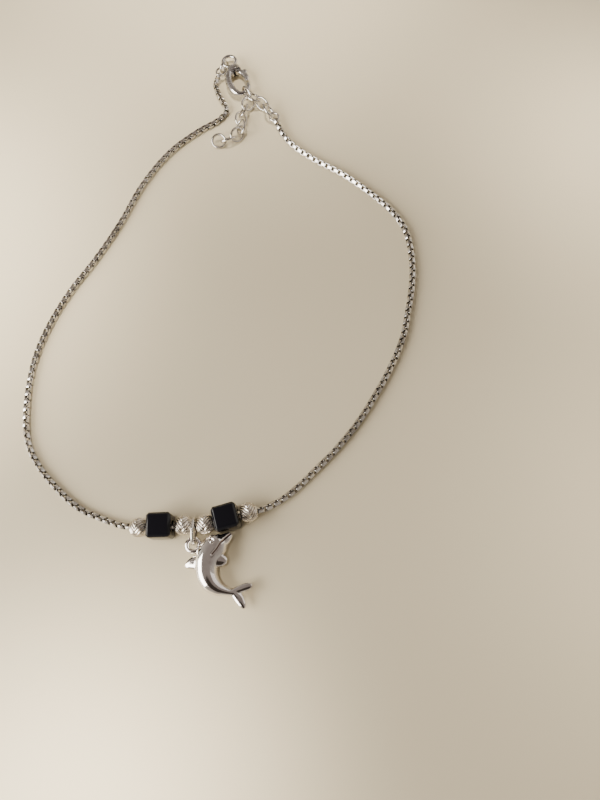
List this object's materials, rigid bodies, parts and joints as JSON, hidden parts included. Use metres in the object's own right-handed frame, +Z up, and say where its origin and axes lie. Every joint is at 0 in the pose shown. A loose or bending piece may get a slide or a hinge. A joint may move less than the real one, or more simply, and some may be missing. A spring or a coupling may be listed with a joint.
{
  "type": "dolphin charm anklet",
  "caption": "Closed silver box-chain anklet lying flat, with diamond-cut ball beads, black cube beads, a dolphin charm on a ring, a lobster clasp and an extender of oval links.",
  "frame": {"origin": "on the table under the middle of the whole lying piece", "axes": "+Z up from the table, +Y from the dolphin charm towards the clasp, +X to the right as seen from above with the clasp away"},
  "size_m": [0.0668, 0.1048, 0.0038],
  "materials": {
    "chain_silver": "polished box links",
    "ring_silver": "polished wire",
    "polished_silver": "mirror polish",
    "clasp_silver": "polished casting",
    "cut_silver": "diamond cut",
    "black_stone": "mirror-polished black stone"
  },
  "bodies": {
    "anklet": {"chain_left": "chain_silver", "chain_right": "chain_silver", "dolphin": "polished_silver", "charm_ring": "ring_silver", "clasp_ring": "ring_silver", "extender_ring": "ring_silver", "extender_link_01": "ring_silver", "extender_link_02": "ring_silver", "extender_link_03": "ring_silver", "extender_link_04": "ring_silver", "extender_link_05": "ring_silver", "extender_link_06": "ring_silver", "extender_link_07": "ring_silver", "extender_link_08": "ring_silver", "extender_link_09": "ring_silver", "extender_end_ring": "ring_silver", "ball_bead_1": "cut_silver", "ball_bead_2": "cut_silver", "ball_bead_3": "cut_silver", "ball_bead_4": "cut_silver", "cube_bead_1": "black_stone", "cube_bead_2": "black_stone", "clasp_body": "clasp_silver", "clasp_pin": "clasp_silver"},
    "lever": {"clasp_lever": "clasp_silver"}
  },
  "joints": [
    {"name": "clasp_lever_hinge", "type": "hinge", "parent": "anklet", "child": "lever", "pos_m": [0.00121, 0.04848, 0.00125], "axis": [0, 0, -1], "range_deg": [0, 30], "stiffness_Nm_per_rad": 0.0005}
  ]
}
